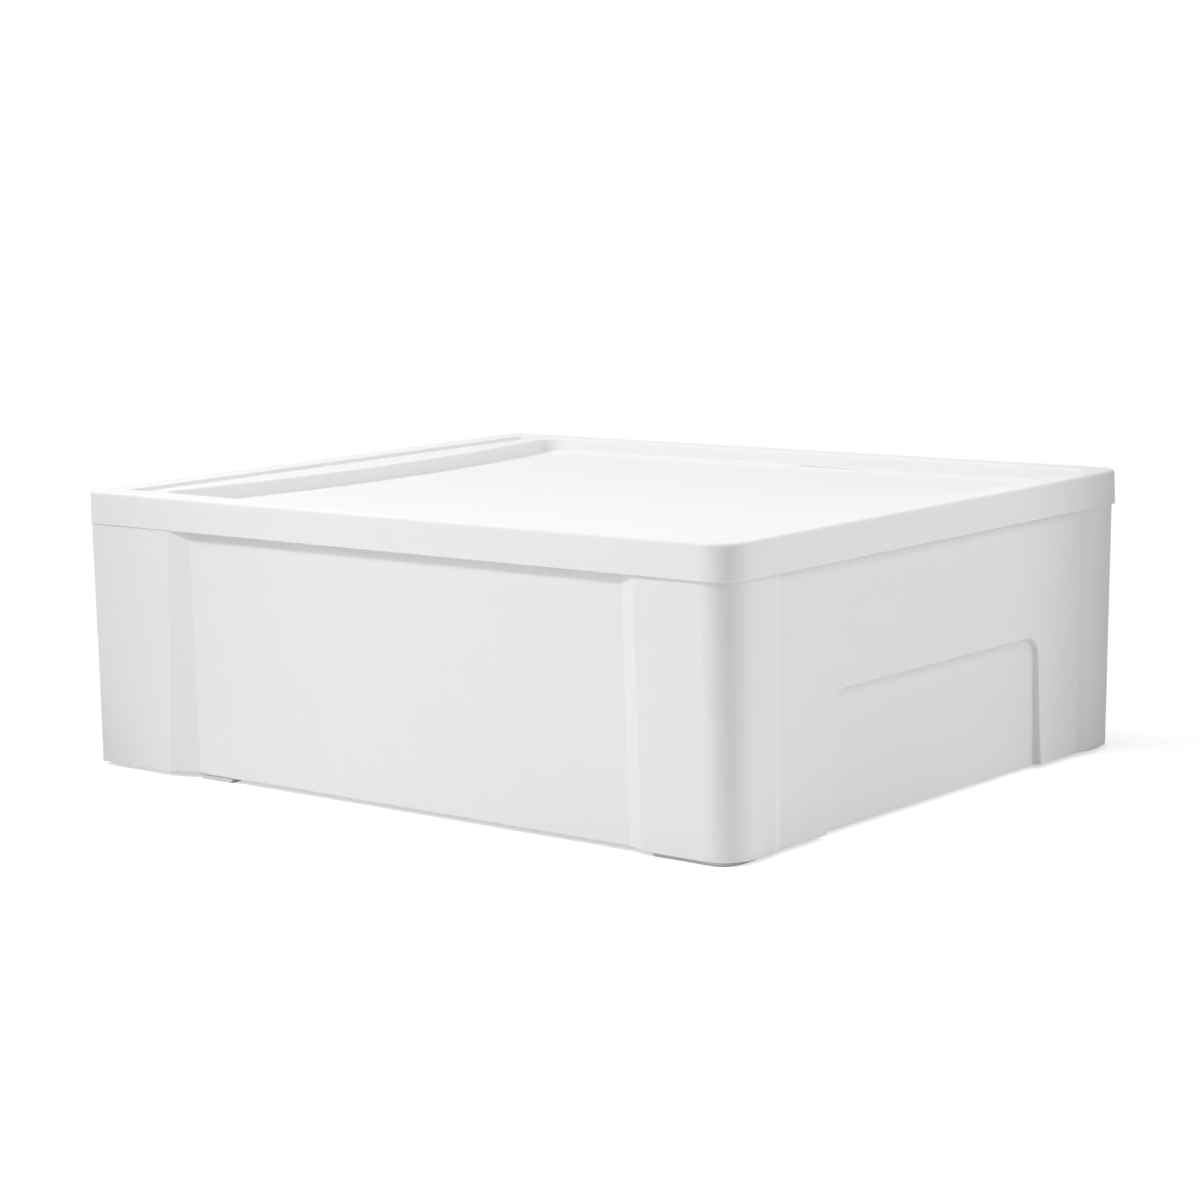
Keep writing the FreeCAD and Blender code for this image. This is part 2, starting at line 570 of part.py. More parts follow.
def shelf_outline(side, rise, inner_x, rear_inner_y, front_y):
    """Plan of a flange inside a side panel, out to the middle of its wall and clear of the tongue."""
    middle = "shell_wall / 2"
    tongue_end = f"({JOINT_X} + tongue_length + fit_gap)"
    post_x = f"({HALF_WIDTH} - {at_height('post_inset', rise)} - {middle})"
    panel_x = f"({HALF_WIDTH} - {at_height('panel_inset', rise)} - {middle})"
    corner_x = f"({HALF_WIDTH} - {at_height('corner_inset', rise)} - {middle})"
    post_end_y = f"(-{HALF_DEPTH} + {at_height('front_post_length', rise)})"
    ramp_end_y = f"({post_end_y} + {at_height('front_ramp_length', rise)})"
    rear_y = f"({HALF_DEPTH} - {at_height('corner_inset', rise)} - {middle})"
    rear_post_y = f"({HALF_DEPTH} - rear_post_length)"
    rear_ramp_y = f"({rear_post_y} - rear_ramp_length)"
    return mirror_points(side, [
        (inner_x, front_y),
        (post_x, front_y),
        (post_x, post_end_y),
        (panel_x, ramp_end_y),
        (panel_x, rear_ramp_y),
        (corner_x, rear_post_y),
        (corner_x, rear_y, f"body_corner_radius - {middle}"),
        (tongue_end, rear_y),
        (tongue_end, rear_inner_y),
        (inner_x, rear_inner_y),
    ])


def make_side_panel(side):
    body = add_body(f"side_panel_{side}")
    levels = [(f"({rise} * sill_radius)", f"({tuck} * sill_radius)") for rise, tuck in SILL_SHARES]
    sections = []
    for number, (rise, tuck) in enumerate(levels + [(WALL_HEIGHT, "0")], start=1):
        section = add_sketch(body, f"wall_{number}", "XY_Plane", f"foot_stand + {rise}")
        outline(section, side_outline(side, rise, tuck))
        sections.append(section)
    loft(body, sections)

    flange_rise = f"({WALL_HEIGHT} - shell_wall)"
    flange = add_sketch(body, "flange", "XY_Plane", f"foot_stand + {flange_rise}")
    rear_inner_y = f"({HALF_DEPTH} - ledge_reach)"
    outline(flange, shelf_outline(side, flange_rise, FLANGE_X, rear_inner_y, JAMB_REAR_Y))
    pad(body, flange, "shell_wall")
    cap = add_sketch(body, "post_cap", "XY_Plane", f"{BAND_BOTTOM} - shell_wall")
    cap_front = f"(-{HALF_DEPTH} + post_inset_top + shell_wall / 2)"
    outline(cap, mirror_points(side, rectangle(
        f"({JAMB_X} + shell_wall / 2)", f"({HALF_WIDTH} - post_inset_top - shell_wall / 2)",
        cap_front, f"({JAMB_REAR_Y} + shell_wall)")))
    pad(body, cap, "shell_wall")

    lip = add_sketch(body, "lip", "XY_Plane", BAND_BOTTOM)
    outline(lip, mirror_points(side, rectangle(
        f"({LIP_OUTER_X} - lip_wall)", LIP_OUTER_X,
        f"(-{HALF_DEPTH} + lip_end_gap)", f"({HALF_DEPTH} - rear_corner_radius - lip_end_gap)")))
    pad(body, lip, f"{COVER_ROOF} - {BAND_BOTTOM}")

    ledge = add_sketch(body, "ledge", "XY_Plane", PLATE_TOP)
    ledge_front = f"(-{HALF_DEPTH} + post_inset_bottom + shell_wall / 2)"
    outline(ledge, shelf_outline(side, "base_plate_drop", LEDGE_X, rear_inner_y, ledge_front))
    pad(body, ledge, "shell_wall")
    return body


# Rear panel: between the two corner posts, with a shallow inverted-U recess


def rear_outline(rise):
    """Plan of the rear panel's wall: the middle stands out, the ends tuck behind the posts."""
    corner_inset = at_height("corner_inset", rise)
    face_y = f"({HALF_DEPTH} - {corner_inset} - joint_step)"
    end = f"({JOINT_X} + tongue_length)"
    tongue_y = f"({HALF_DEPTH} - {corner_inset} - shell_wall - fit_gap)"
    inner_y = f"({face_y} - rear_wall)"
    return [
        (f"-{end}", inner_y),
        (end, inner_y),
        (end, tongue_y),
        (JOINT_X, tongue_y),
        (JOINT_X, face_y),
        (f"-{JOINT_X}", face_y),
        (f"-{JOINT_X}", tongue_y),
        (f"-{end}", tongue_y),
    ]


def rear_face_y(rise):
    """Where the rear panel's face stands at a height over the lower edge of the walls."""
    return f"({REAR_FACE_BOTTOM} + ({REAR_FACE_TOP} - {REAR_FACE_BOTTOM}) * {rise} / {WALL_HEIGHT})"


def rims_recess(box, low_y, high_y, height):
    """True for an edge of the recess in the leaning plane through a low and a high line."""
    start = value("foot_stand")
    lean = (value(high_y) - value(low_y)) / value(height)
    reach = value("recess_half_width_bottom + recess_depth_bottom")
    return (
        near(box.YMin, value(low_y) + (box.ZMin - start) * lean)
        and near(box.YMax, value(low_y) + (box.ZMax - start) * lean)
        and start + value("pick_reach") < box.ZMax < start + value("recess_height + recess_depth_top")
        and box.XMin > -reach
        and box.XMax < reach
    )


def recess_plane(body, name, depth_behind):
    """A sketch that leans with the floor of the recess, moved into the wall by a formula."""
    floor_y = f"({REAR_FACE_BOTTOM} - recess_depth_bottom)"
    top_y = f"({rear_face_y('recess_height')} - recess_depth_top)"
    lean = f"atan(({top_y} - {floor_y}) / recess_height)"
    sketch = add_sketch(body, name, "XZ_Plane", f"-({floor_y} - ({depth_behind}))")
    sketch.setExpression("AttachmentOffset.Base.y", bind("foot_stand"))
    sketch.AttachmentOffset = Placement(sketch.AttachmentOffset.Base, Rotation(Vector(1, 0, 0), -1))
    sketch.setExpression("AttachmentOffset.Rotation.Angle", bind(f"-1 * {lean}"))
    return sketch


def arch(half_low, half_high, low, high, radius):
    """Corners of an inverted U."""
    return [
        (f"-{half_low}", low),
        (half_low, low),
        (half_high, high, radius),
        (f"-{half_high}", high, radius),
    ]


def make_rear_panel():
    body = add_body("rear_panel")
    lower = add_sketch(body, "wall_foot", "XY_Plane", "foot_stand")
    outline(lower, rear_outline("0"))
    upper = add_sketch(body, "wall_top", "XY_Plane", BAND_BOTTOM)
    outline(upper, rear_outline(WALL_HEIGHT))
    loft(body, [lower, upper])

    backing = recess_plane(body, "recess_backing", "rear_wall")
    outline(backing, arch("(recess_half_width_bottom + rear_wall)", "(recess_half_width_top + rear_wall)",
                          "0", "(recess_height + rear_wall)", "recess_corner_radius + rear_wall"))
    pad(body, backing, "rear_wall + recess_depth_top / 2", backwards=True)
    recess = recess_plane(body, "recess", "0")
    outline(recess, arch("recess_half_width_bottom", "recess_half_width_top",
                         "-cut_overrun", "recess_height", "recess_corner_radius"))
    pocket(body, recess, "recess_depth_bottom + cut_overrun", taper="recess_slope_angle")
    face = (REAR_FACE_BOTTOM, REAR_FACE_TOP, WALL_HEIGHT)
    floor = (
        f"{REAR_FACE_BOTTOM} - recess_depth_bottom",
        f"{rear_face_y('recess_height')} - recess_depth_top",
        "recess_height",
    )
    round_edges(body, lambda box: rims_recess(box, *floor), "recess_foot_radius")
    round_edges(body, lambda box: rims_recess(box, *face), "recess_edge_radius")

    half = f"({JOINT_X} - fit_gap)"
    inner_y = f"({HALF_DEPTH} - ledge_reach)"
    flange = add_sketch(body, "flange", "XY_Plane", f"{BAND_BOTTOM} - shell_wall")
    outline(flange, rectangle(f"-{half}", half, inner_y, f"({REAR_FACE_TOP} - rear_wall / 2)"))
    pad(body, flange, "shell_wall")
    ledge = add_sketch(body, "ledge", "XY_Plane", PLATE_TOP)
    outline(ledge, rectangle(f"-{half}", half, f"({PLATE_REAR_Y} - shell_wall)",
                             f"({REAR_FACE_BOTTOM} - recess_depth_bottom - rear_wall / 2)"))
    pad(body, ledge, "shell_wall")
    lip = add_sketch(body, "lip", "XY_Plane", BAND_BOTTOM)
    outline(lip, rectangle(f"-{half}", half, f"({LIP_OUTER_Y} - lip_wall)", LIP_OUTER_Y))
    pad(body, lip, f"{COVER_ROOF} - {BAND_BOTTOM}")
    return body


# Base panel: floor plate with skirt, runner rails, drawer guides and sockets for the feet


def peg_places():
    """Where the feet's pegs stand: one in each front foot, two in each rear foot."""
    front = f"({FRONT_FOOT_Y} + front_foot_length / 2)"
    rear_near = f"({REAR_FOOT_Y} + peg_end_gap)"
    rear_far = f"({REAR_FOOT_Y} + rear_foot_length - peg_end_gap - peg_radius)"
    return {"front": [front], "rear": [rear_near, rear_far]}


def plate_outline(inset):
    """Plan of the floor plate, narrower between the front posts, moved in by a formula."""
    side = f"({PLATE_X} - {inset})"
    neck = f"({JAMB_X} - fit_gap - {inset})"
    front = f"({PLATE_FRONT_Y} + {inset})"
    shoulder = f"({JAMB_REAR_Y} + fit_gap + {inset})"
    rear = f"({PLATE_REAR_Y} - {inset})"
    radius = f"(base_corner_radius - {inset})"
    return [
        (f"-{neck}", front),
        (neck, front),
        (neck, shoulder),
        (side, shoulder),
        (side, rear, radius),
        (f"-{side}", rear, radius),
        (f"-{side}", shoulder),
        (f"-{neck}", shoulder),
    ]


def make_base_panel():
    body = add_body("base_panel")
    plate = add_sketch(body, "plate", "XY_Plane", PLATE_BOTTOM)
    outline(plate, plate_outline("0"))
    pad(body, plate, "base_plate")
    skirt = add_sketch(body, "skirt", "XY_Plane", SKIRT_BOTTOM)
    outline(skirt, plate_outline("0"))
    outline(skirt, plate_outline("skirt_wall"))
    pad(body, skirt, f"{PLATE_BOTTOM} - {SKIRT_BOTTOM}")

    for number, share in enumerate(LONG_RIB_SHARES, start=1):
        rib = add_sketch(body, f"long_rib_{number}", "XY_Plane", f"{PLATE_BOTTOM} - rib_depth")
        middle = f"({share} * {PLATE_X})"
        outline(rib, rectangle(f"({middle} - rib_wall / 2)", f"({middle} + rib_wall / 2)",
                               f"({PLATE_FRONT_Y} + skirt_wall / 2)", f"({PLATE_REAR_Y} - skirt_wall / 2)"))
        pad(body, rib, "rib_depth")
    for number, share in enumerate(CROSS_RIB_SHARES, start=1):
        rib = add_sketch(body, f"cross_rib_{number}", "XY_Plane", f"{PLATE_BOTTOM} - rib_depth")
        middle = f"({PLATE_FRONT_Y} + {share} * ({PLATE_REAR_Y} - {PLATE_FRONT_Y}))"
        outline(rib, rectangle(f"-({PLATE_X} - skirt_wall / 2)", f"({PLATE_X} - skirt_wall / 2)",
                               f"({middle} - rib_wall / 2)", f"({middle} + rib_wall / 2)"))
        pad(body, rib, "rib_depth")

    rail_outer = f"({HALF_WIDTH} - rail_inset)"
    rail_inner = f"({rail_outer} - rail_width)"
    fence_inner = f"({DRAWER_X} - {DRAWER_LEAN} + fit_gap + running_gap + running_gap)"
    fence_outer = f"({fence_inner} + fence_wall)"
    fence_front = f"({FRONT_BACK_Y} + drawer_wall)"
    for side in ("right", "left"):
        rail = add_sketch(body, f"rail_{side}", "XY_Plane", PLATE_TOP)
        outline(rail, mirror_points(side, rectangle(rail_inner, rail_outer, PLATE_FRONT_Y,
                                                    f"({PLATE_REAR_Y} - shell_wall)")))
        pad(body, rail, "rail_height")
        fence = add_sketch(body, f"fence_{side}", "XY_Plane", PLATE_TOP)
        outline(fence, mirror_points(side, rectangle(fence_inner, fence_outer, fence_front,
                                                     f"({HALF_DEPTH} - drawer_rear_gap)")))
        pad(body, fence, "fence_height")
        for end, places in peg_places().items():
            for number, place in enumerate(places, start=1):
                sign = "" if side == "right" else "-1 * "
                boss = add_sketch(body, f"boss_{side}_{end}_{number}", "XY_Plane", SKIRT_BOTTOM)
                circle(boss, f"{sign}{PEG_X}", place, "(peg_radius + boss_wall)")
                pad(body, boss, f"{PLATE_BOTTOM} - {SKIRT_BOTTOM}")
                hole = add_sketch(body, f"hole_{side}_{end}_{number}", "XY_Plane", PLATE_TOP)
                circle(hole, f"{sign}{PEG_X}", place, "(peg_radius + fit_gap / 2)")
                pocket(body, hole, f"{PLATE_TOP} - {SKIRT_BOTTOM}")
    return body


# Feet: thin pads under the housing, each held by pegs in the base


def make_foot(end, side):
    body = add_body(f"foot_{end}_{side}")
    sole = add_sketch(body, "sole", "XY_Plane", "0")
    start = FRONT_FOOT_Y if end == "front" else REAR_FOOT_Y
    length = f"{end}_foot_length"
    inner_x = f"({FOOT_OUTER_X} - foot_width)"
    corners = rectangle(inner_x, FOOT_OUTER_X, start, f"({start} + {length})")
    if end == "rear":
        corners[2] = corners[2] + ("foot_corner_radius",)
    outline(sole, mirror_points(side, corners))
    pad(body, sole, SKIRT_BOTTOM)
    lip = add_sketch(body, "lip", "XY_Plane", SKIRT_BOTTOM)
    lip_x = f"({FOOT_OUTER_X} - foot_lip)"
    if end == "rear":
        lip_y = f"({PLATE_REAR_Y} + fit_gap + fit_gap)"
        bend = (lip_x, lip_y, "foot_corner_radius - foot_lip")
        strip = [(lip_x, start)] + corners[1:] + [(inner_x, lip_y), bend]
    else:
        strip = rectangle(lip_x, FOOT_OUTER_X, start, f"({start} + {length})")
    outline(lip, mirror_points(side, strip))
    pad(body, lip, "skirt_drop")
    chamfered = value(start) if end == "rear" else value(f"{start} + {length}")
    round_edges(
        body,
        lambda box: lies_flat(box, 0) and near(box.YMin, chamfered) and near(box.YMax, chamfered),
        "foot_chamfer", "Chamfer",
    )
    sign = "" if side == "right" else "-1 * "
    for number, place in enumerate(peg_places()[end], start=1):
        peg = add_sketch(body, f"peg_{number}", "XY_Plane", SKIRT_BOTTOM)
        circle(peg, f"{sign}{PEG_X}", place, "peg_radius")
        pad(body, peg, f"{PLATE_TOP} - {SKIRT_BOTTOM}")
    return body


# Drawer: a drafted open box with a rim, slots for the front's hooks and two clip-on stops


def hook_places():
    """Middles of the four hooks: x and z."""
    side = f"({FRONT_X} - hook_side_inset)"
    low = f"({DRAWER_BOTTOM} + drawer_floor + hook_low_height)"
    high = f"({DRAWER_RIM_BOTTOM} - hook_high_drop)"
    return [(f"-{side}", low), (side, low), (f"-{side}", high), (side, high)]


def drawer_outline(inset):
    """Plan of the drawer at its rim, moved in by a formula."""
    side = f"({DRAWER_X} - {inset})"
    radius = f"(drawer_corner_radius - {inset})"
    return rectangle(f"-{side}", side, f"({FRONT_BACK_Y} + {inset})", f"({DRAWER_REAR_Y} - {inset})",
                     radius, radius)


def make_drawer_tray():
    body = add_body("drawer_tray")
    outer = add_sketch(body, "outer", "XY_Plane", DRAWER_RIM_TOP)
    outline(outer, drawer_outline("0"))
    pad(body, outer, f"{DRAWER_RIM_TOP} - {DRAWER_BOTTOM}", backwards=True, taper="-drawer_draft_angle")
    bottom = value(DRAWER_BOTTOM)
    round_edges(body, lambda box: lies_flat(box, bottom), "drawer_foot_radius")

    rim = add_sketch(body, "rim", "XY_Plane", DRAWER_RIM_BOTTOM)
    outline(rim, rectangle(f"-{DRAWER_RIM_X}", DRAWER_RIM_X, FRONT_BACK_Y,
                           f"({DRAWER_REAR_Y} + drawer_rim_reach)",
                           "drawer_corner_radius", "drawer_corner_radius + drawer_rim_reach"))
    pad(body, rim, "drawer_rim")

    inner = add_sketch(body, "inner", "XY_Plane", DRAWER_RIM_TOP)
    outline(inner, drawer_outline("drawer_wall"))
    pocket(body, inner, f"{DRAWER_RIM_TOP} - {DRAWER_BOTTOM} - drawer_floor", taper="-drawer_draft_angle")
    inner_floor = value(f"{DRAWER_BOTTOM} + drawer_floor")
    round_edges(body, lambda box: lies_flat(box, inner_floor), "drawer_inner_radius")
    rim_top = value(DRAWER_RIM_TOP)
    front_y = value(f"{FRONT_BACK_Y} + pick_reach")
    round_edges(body, lambda box: lies_flat(box, rim_top) and box.YMax > front_y, "drawer_rim_radius")

    slots = add_sketch(body, "slots", "XZ_Plane", f"-({FRONT_BACK_Y} - cut_overrun)")
    half = "(hook_width / 2 + running_gap)"
    for x, z in hook_places():
        outline(slots, rectangle(f"({x} - {half})", f"({x} + {half})",
                                 f"({z} - hook_thickness / 2 - hook_nib - running_gap)",
                                 f"({z} + hook_thickness / 2 + running_gap)"))
    pocket(body, slots, "cut_overrun + drawer_wall + cut_overrun")
    return body


def make_drawer_stop(side):
    body = add_body(f"drawer_stop_{side}")
    front = f"({JAMB_REAR_Y} + drawer_travel + running_gap)"
    sketch = add_sketch(body, "profile", "XZ_Plane", f"-{front}")
    rim_x = DRAWER_RIM_X
    wall_x = f"({rim_x} - drawer_rim_reach)"
    outer_x = f"({rim_x} + stop_reach)"
    outline(sketch, mirror_points(side, [
        (f"({wall_x} - drawer_wall)", DRAWER_RIM_TOP),
        (rim_x, DRAWER_RIM_TOP),
        (rim_x, DRAWER_RIM_BOTTOM),
        (f"({wall_x} + fit_gap)", DRAWER_RIM_BOTTOM),
        (f"({wall_x} + fit_gap)", f"({DRAWER_RIM_BOTTOM} - stop_grip)"),
        (outer_x, f"({DRAWER_RIM_BOTTOM} - stop_grip)"),
        (outer_x, f"({DRAWER_RIM_TOP} + stop_leaf)"),
        (f"({wall_x} - drawer_wall)", f"({DRAWER_RIM_TOP} + stop_leaf)"),
    ]))
    pad(body, sketch, "stop_length", backwards=True)
    return body


# Drawer front: a hollow panel with an inverted-U finger pull and four hooks at its back


def make_drawer_front():
    body = add_body("drawer_front")
    face = add_sketch(body, "face", "XZ_Plane", f"-{FRONT_FACE_Y}")
    outline(face, rectangle(f"-{FRONT_X}", FRONT_X, FRONT_LOW, FRONT_HIGH,
                            "front_face_radius", "front_face_radius"))
    pad(body, face, "front_thickness", backwards=True)
    face_y = value(FRONT_FACE_Y)
    round_edges(body, lambda box: near(box.YMin, face_y) and near(box.YMax, face_y), "front_edge_radius")

    hollow = add_sketch(body, "hollow", "XZ_Plane", f"-{FRONT_BACK_Y}")
    outline(hollow, rectangle(f"-({FRONT_X} - front_wall)", f"({FRONT_X} - front_wall)",
                              f"({FRONT_LOW} + front_wall)", f"({DRAWER_RIM_TOP} - fit_gap)"))
    pocket(body, hollow, "front_thickness - front_skin", backwards=True)

    for side in ("right", "left"):
        rib = add_sketch(body, f"rib_{side}", "XZ_Plane", f"-({FRONT_FACE_Y} + front_skin / 2)")
        outline(rib, mirror_points(side, rectangle("(front_rib_x - front_rib_wall / 2)",
                                                   "(front_rib_x + front_rib_wall / 2)",
                                                   f"({FRONT_LOW} + front_wall / 2)",
                                                   f"({FRONT_HIGH} - front_wall / 2)")))
        pad(body, rib, "front_thickness - front_skin / 2", backwards=True)

    cup_top = f"({FRONT_LOW} + pull_height + pull_grip_height + front_wall)"
    cup_side = "(pull_half_width + front_wall)"
    cup = add_sketch(body, "cup", "XZ_Plane", f"-({FRONT_FACE_Y} + front_skin / 2)")
    outline(cup, rectangle(f"-{cup_side}", cup_side, f"({FRONT_LOW} + front_wall / 2)", cup_top,
                           None, "pull_corner_radius"))
    pad(body, cup, "pull_depth + front_wall - front_skin / 2", backwards=True)

    pull = add_sketch(body, "pull", "XZ_Plane", f"-({FRONT_FACE_Y} - cut_overrun)")
    pull_top = f"({FRONT_LOW} + pull_height)"
    outline(pull, rectangle("-pull_half_width", "pull_half_width", f"({FRONT_LOW} - cut_overrun)",
                            pull_top, None, "pull_corner_radius"))
    pocket(body, pull, "cut_overrun + pull_depth")
    grip = add_sketch(body, "grip", "XZ_Plane", f"-({FRONT_FACE_Y} + front_skin)")
    grip_side = "(pull_half_width - pull_grip_inset)"
    outline(grip, rectangle(f"-{grip_side}", grip_side, f"({pull_top} - pull_corner_radius)",
                            f"({pull_top} + pull_grip_height)", None, "pull_grip_radius"))
    pocket(body, grip, "pull_depth - front_skin")
    low = value(FRONT_LOW)
    round_edges(
        body,
        lambda box: near(box.YMin, face_y) and near(box.YMax, face_y)
        and abs(box.XMin) < value("pull_half_width + pick_reach")
        and abs(box.XMax) < value("pull_half_width + pick_reach")
        and box.ZMax < value(f"{pull_top} + pick_reach") and box.ZMax > low + value("front_edge_radius * 2"),
        "pull_edge_radius",
    )

    arm_end = f"({FRONT_BACK_Y} + {DRAWER_LEAN} + drawer_wall + running_gap + hook_nib_length)"
    hooks = add_sketch(body, "hooks", "XZ_Plane", f"-({FRONT_FACE_Y} + front_skin / 2)")
    nibs = add_sketch(body, "nibs", "XZ_Plane", f"-({arm_end} - hook_nib_length)")
    half = "hook_width / 2"
    for x, z in hook_places():
        outline(hooks, rectangle(f"({x} - {half})", f"({x} + {half})",
                                 f"({z} - hook_thickness / 2)", f"({z} + hook_thickness / 2)"))
        outline(nibs, rectangle(f"({x} - {half})", f"({x} + {half})",
                                f"({z} - hook_thickness / 2 - hook_nib)", f"({z} + hook_thickness / 2)"))
    pad(body, hooks, f"{arm_end} - {FRONT_FACE_Y} - front_skin / 2", backwards=True)
    pad(body, nibs, "hook_nib_length", backwards=True)
    return body


make_top_cover()
for side in ("left", "right"):
    make_side_panel(side)
make_rear_panel()
make_base_panel()
make_drawer_tray()
make_drawer_front()
for side in ("left", "right"):
    make_drawer_stop(side)
for end in ("front", "rear"):
    for side in ("left", "right"):
        make_foot(end, side)
doc.recompute()

# Every object has to be sound before anything is written

for item in doc.Objects:
    if "Invalid" in item.State or "Error" in item.State:
        raise ValueError(f"{item.Name} is {item.State}")
for body in bodies:
    shape = body.Shape
    if shape.isNull() or not shape.isValid() or shape.Volume <= 0:
        raise ValueError(f"{body.Label} has no sound shape")
    print(body.Label, len(shape.Solids), "solid", round(shape.Volume), "mm3")

os.makedirs("parts", exist_ok=True)
for body in bodies:
    body.Shape.exportStep(f"parts/{body.Label}.step")
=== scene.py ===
import json
import math

import bpy
from mathutils import Euler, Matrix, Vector


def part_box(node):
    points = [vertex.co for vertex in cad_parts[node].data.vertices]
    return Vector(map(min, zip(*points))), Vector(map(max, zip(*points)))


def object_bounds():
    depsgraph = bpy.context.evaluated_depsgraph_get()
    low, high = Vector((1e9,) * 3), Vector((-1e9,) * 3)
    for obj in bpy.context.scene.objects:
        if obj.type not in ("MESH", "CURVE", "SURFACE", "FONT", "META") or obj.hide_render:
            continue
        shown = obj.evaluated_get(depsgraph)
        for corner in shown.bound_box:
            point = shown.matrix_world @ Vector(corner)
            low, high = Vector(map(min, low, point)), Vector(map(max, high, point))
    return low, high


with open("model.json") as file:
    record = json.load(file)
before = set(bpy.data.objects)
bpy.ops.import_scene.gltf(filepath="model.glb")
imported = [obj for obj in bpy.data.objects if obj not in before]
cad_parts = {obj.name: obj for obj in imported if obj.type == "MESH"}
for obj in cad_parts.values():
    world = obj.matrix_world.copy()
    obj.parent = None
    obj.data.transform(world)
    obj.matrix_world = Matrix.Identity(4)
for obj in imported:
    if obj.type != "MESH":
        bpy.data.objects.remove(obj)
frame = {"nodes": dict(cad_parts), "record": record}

bl_info = {
    "name": "Stackable drawer box",
    "version": (1, 0, 0),
    "blender": (4, 5, 0),
    "location": "View3D > Sidebar > Drawer Box",
    "description": "Dresses the stackable drawer box and sets up its studio",
    "category": "Object",
}

CAD_BOX = [list(corner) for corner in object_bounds()]
MM = 0.001
BOX_MIDDLE = (CAD_BOX[0][2] + CAD_BOX[1][2]) / 2

# Name, (azimuth, elevation, distance), side and power of each soft lamp.
STUDIO_LAMPS = (
    ("side_lamp", (-32, 47, 1.8), 0.3, 14.1),
    ("side_fill", (-25, 22, 2.2), 1.3, 7.0),
    ("rear_lamp", (125, 47, 1.8), 0.3, 4.5),
    ("rear_fill", (118, 20, 2.2), 1.3, 12.0),
    ("top_lamp", (0, 90, 1.2), 0.9, 2.8),
)

# Name and the two ends in plan of each dark flag that shades an end of the box. The camera doesn't
# see them.
STUDIO_FLAGS = (
    ("front_flag", (0.43, -0.30), (0.31, -0.50)),
    ("rear_flag", (-0.21, 0.33), (-0.36, 0.33)),
)
FLAG_HEIGHT = 0.35
FLAG_GREY = 0.02
FLOOR_GREY = 0.8
WHITE = (1, 1, 1, 1)

# Width of the camera's sensor in millimetres, and the least distance that it shows in metres.
SENSOR_WIDTH = 36
NEAREST_SEEN = 0.01

# Share of a normal along an axis from which its face looks that way, and how sharp the change is.
FACING = 0.9
FACING_CONTRAST = 20.0

PLASTIC_IOR = 1.49

# How noise is drawn out along the three axes. A small number makes long marks.
FLOW_STRETCH = (1.0, 0.35, 0.6)
ALONG_STRETCH = (1.0, 0.04, 1.0)
ACROSS_STRETCH = (0.05, 1.0, 1.0)

# Clouds are the slow change of colour and roughness over a moulding. Their scale is in 1/m.
CLOUD_SCALE = 9.0
CLOUD_ROUGHNESS = 0.06
CLOUD_SHADE = 0.028
GRAIN_ROUGHNESS = 0.05
BASE_SHADE = 0.986

# Level of the noise above which a scuff shows, how sharp its edge is, and what it takes off.
SCUFF_LEVEL = 0.66
SCUFF_CONTRAST = 9.0
SCUFF_POLISH = 0.1
SCUFF_SHADE = 0.012

# What a pin mark takes off the roughness and the shade.
PIN_POLISH = 0.12
PIN_SHADE = 0.02

# The feet's grain, its scale in 1/m, its depth, and its share in the roughness.
PAD_GRAIN_SCALE = 900.0
PAD_GRAIN_DEPTH = 0.03 * MM
PAD_GRAIN_ROUGHNESS = 0.1

HOUSING_NODES = ("top_cover", "side_panel_left", "side_panel_right", "rear_panel", "base_panel")
DRAWER_NODES = ("drawer_tray", "drawer_front", "drawer_stop_left", "drawer_stop_right")
FOOT_NODES = ("foot_front_left", "foot_front_right", "foot_rear_left", "foot_rear_right")


class Signal:
    """A socket of a node tree. Operators on numbers add Math nodes."""

    def __init__(self, tree, socket):
        self.tree = tree
        self.socket = socket

    def node(self, kind, settings=None, inputs=None, output=0):
        """Add a node of this kind: its settings first, then its sockets' values or links."""
        made = self.tree.nodes.new(kind)
        for name, setting in (settings or {}).items():
            setattr(made, name, setting)
        for name, given in (inputs or {}).items():
            if isinstance(given, Signal):
                self.tree.links.new(given.socket, made.inputs[name])
            else:
                made.inputs[name].default_value = given
        return Signal(self.tree, made.outputs[output] if made.outputs else None)

    def math(self, operation, *others):
        operands = dict(enumerate((self,) + others))
        return self.node("ShaderNodeMath", {"operation": operation}, operands)

    def flipped(self, operation, other):
        return self.node("ShaderNodeMath", {"operation": operation}, {0: other, 1: self})

    def __add__(self, other):
        return self.math("ADD", other)

    def __radd__(self, other):
        return self.flipped("ADD", other)

    def __sub__(self, other):
        return self.math("SUBTRACT", other)

    def __rsub__(self, other):
        return self.flipped("SUBTRACT", other)

    def __mul__(self, other):
        return self.math("MULTIPLY", other)

    def __rmul__(self, other):
        return self.flipped("MULTIPLY", other)

    def clamped(self, low, high):
        return self.math("MAXIMUM", low).math("MINIMUM", high)


